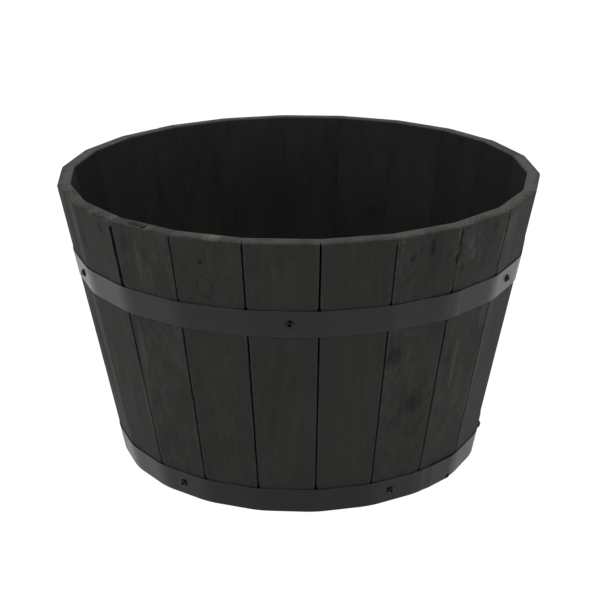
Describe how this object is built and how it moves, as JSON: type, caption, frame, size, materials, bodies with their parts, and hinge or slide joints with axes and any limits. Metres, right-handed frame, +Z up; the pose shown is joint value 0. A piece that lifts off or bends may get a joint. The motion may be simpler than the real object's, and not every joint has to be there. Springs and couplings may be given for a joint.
{
  "type": "wooden barrel planter",
  "caption": "Open half-barrel planter of flat tapered wooden staves bound by flat steel hoops, with a board floor that has drainage holes.",
  "frame": {"origin": "middle of the foot, on the ground", "axes": "+Z up along the tub's axis, -Y towards the front stave, +X to the right seen from the front"},
  "size_m": [0.6018, 0.5958, 0.3585],
  "materials": {
    "stave_wood": "charcoal stain on sawn softwood",
    "floor_wood": "charcoal stain on sawn softwood, dull",
    "hoop_steel": "dark grey satin on steel strip",
    "screw_steel": "black on steel"
  },
  "bodies": {
    "root": {"stave_01": "stave_wood", "stave_02": "stave_wood", "stave_03": "stave_wood", "stave_04": "stave_wood", "stave_05": "stave_wood", "stave_06": "stave_wood", "stave_07": "stave_wood", "stave_08": "stave_wood", "stave_09": "stave_wood", "stave_10": "stave_wood", "stave_11": "stave_wood", "stave_12": "stave_wood", "stave_13": "stave_wood", "stave_14": "stave_wood", "stave_15": "stave_wood", "stave_16": "stave_wood", "stave_17": "stave_wood", "stave_18": "stave_wood", "stave_19": "stave_wood", "stave_20": "stave_wood", "stave_21": "stave_wood", "stave_22": "stave_wood", "floor_board_1": "floor_wood", "floor_board_2": "floor_wood", "floor_board_3": "floor_wood", "floor_board_4": "floor_wood", "floor_board_5": "floor_wood", "floor_batten_left": "floor_wood", "floor_batten_right": "floor_wood", "floor_screws": "screw_steel", "upper_hoop": "hoop_steel", "lower_hoop": "hoop_steel", "upper_hoop_screws": "screw_steel", "lower_hoop_screws": "screw_steel"}
  },
  "joints": []
}
